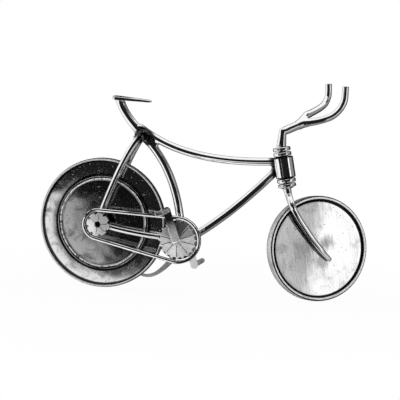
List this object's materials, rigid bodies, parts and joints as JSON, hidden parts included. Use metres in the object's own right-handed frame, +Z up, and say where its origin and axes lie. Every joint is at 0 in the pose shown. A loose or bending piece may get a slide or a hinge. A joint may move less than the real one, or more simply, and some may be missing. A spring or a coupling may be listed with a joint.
{
  "type": "miniature bicycle",
  "caption": "Polished silver miniature bicycle with disc wheels, sagging top tube, upturned horn bars and a one-sided fork.",
  "frame": {"origin": "centre of the bounding box's base, on the ground under both wheels", "axes": "+X forward along the frame, +Y to the rider's left, +Z up"},
  "size_m": [0.1104, 0.0356, 0.0717],
  "materials": {
    "bright_silver": "polished",
    "shaded_silver": "worn polish",
    "tarnished_silver": "rough and darkened"
  },
  "bodies": {
    "frame": {"head_tube": "bright_silver", "headset_upper_cup": "bright_silver", "headset_lower_cup": "bright_silver", "top_tube": "bright_silver", "down_tube": "bright_silver", "seat_tube": "bright_silver", "seat_post": "bright_silver", "saddle": "bright_silver", "seat_lug": "tarnished_silver", "head_gusset": "shaded_silver", "bottom_bracket_shell": "bright_silver", "seat_stay_right": "bright_silver", "seat_stay_left": "bright_silver", "chain_stay_right": "bright_silver", "chain_stay_left": "bright_silver", "rear_dropout_right": "bright_silver", "rear_dropout_left": "bright_silver", "chain_band": "bright_silver", "stand_bracket": "bright_silver", "stand_pin": "shaded_silver"},
    "steering": {"steerer": "shaded_silver", "headset_locknut": "bright_silver", "headset_lower_race": "bright_silver", "fork_blade": "bright_silver", "front_axle": "shaded_silver", "stem": "bright_silver", "handlebar_horn_right": "bright_silver", "handlebar_horn_left": "bright_silver"},
    "front_wheel": {"front_wheel_disc": "bright_silver", "front_hub_bush": "shaded_silver"},
    "rear_wheel": {"rear_wheel_disc": "bright_silver", "rear_axle": "bright_silver", "rear_sprocket": "bright_silver"},
    "crankset": {"crank_spindle": "shaded_silver", "chainring": "bright_silver", "crank_right": "bright_silver", "crank_left": "bright_silver", "pedal_pin_right": "shaded_silver", "pedal_pin_left": "shaded_silver"},
    "pedal_right": {"pedal_right": "bright_silver"},
    "pedal_left": {"pedal_left": "bright_silver"},
    "side_stand": {"side_stand": "shaded_silver"}
  },
  "joints": [
    {"name": "steering_turn", "type": "hinge", "parent": "frame", "child": "steering", "pos_m": [0.02838, -0.00046, 0.04401], "axis": [-0.1925, 0, 0.9813], "range_deg": [-103, 37]},
    {"name": "front_wheel_spin", "type": "hinge", "parent": "steering", "child": "front_wheel", "pos_m": [0.03974, 0.00346, 0.01745], "axis": [-0.5344, 0.8387, -0.1049], "continuous": true},
    {"name": "rear_wheel_spin", "type": "hinge", "parent": "frame", "child": "rear_wheel", "pos_m": [-0.03312, -0.00046, 0.02205], "axis": [0, 1, 0], "continuous": true},
    {"name": "crank_spin", "type": "hinge", "parent": "frame", "child": "crankset", "pos_m": [-0.00552, -0.00046, 0.0185], "axis": [0, 1, 0], "continuous": true},
    {"name": "pedal_right_spin", "type": "hinge", "parent": "crankset", "child": "pedal_right", "pos_m": [-0.00908, -0.00046, 0.02827], "axis": [0, 1, 0], "continuous": true},
    {"name": "pedal_left_spin", "type": "hinge", "parent": "crankset", "child": "pedal_left", "pos_m": [-0.00196, -0.00046, 0.00873], "axis": [0, 1, 0], "continuous": true},
    {"name": "side_stand_fold", "type": "hinge", "parent": "frame", "child": "side_stand", "pos_m": [-0.00622, -0.00046, 0.0144], "axis": [0, -1, 0], "range_deg": [0, 100]}
  ],
  "couplings": [
    {"joint": "crank_spin", "follows": "rear_wheel_spin", "ratio": 0.4}
  ]
}
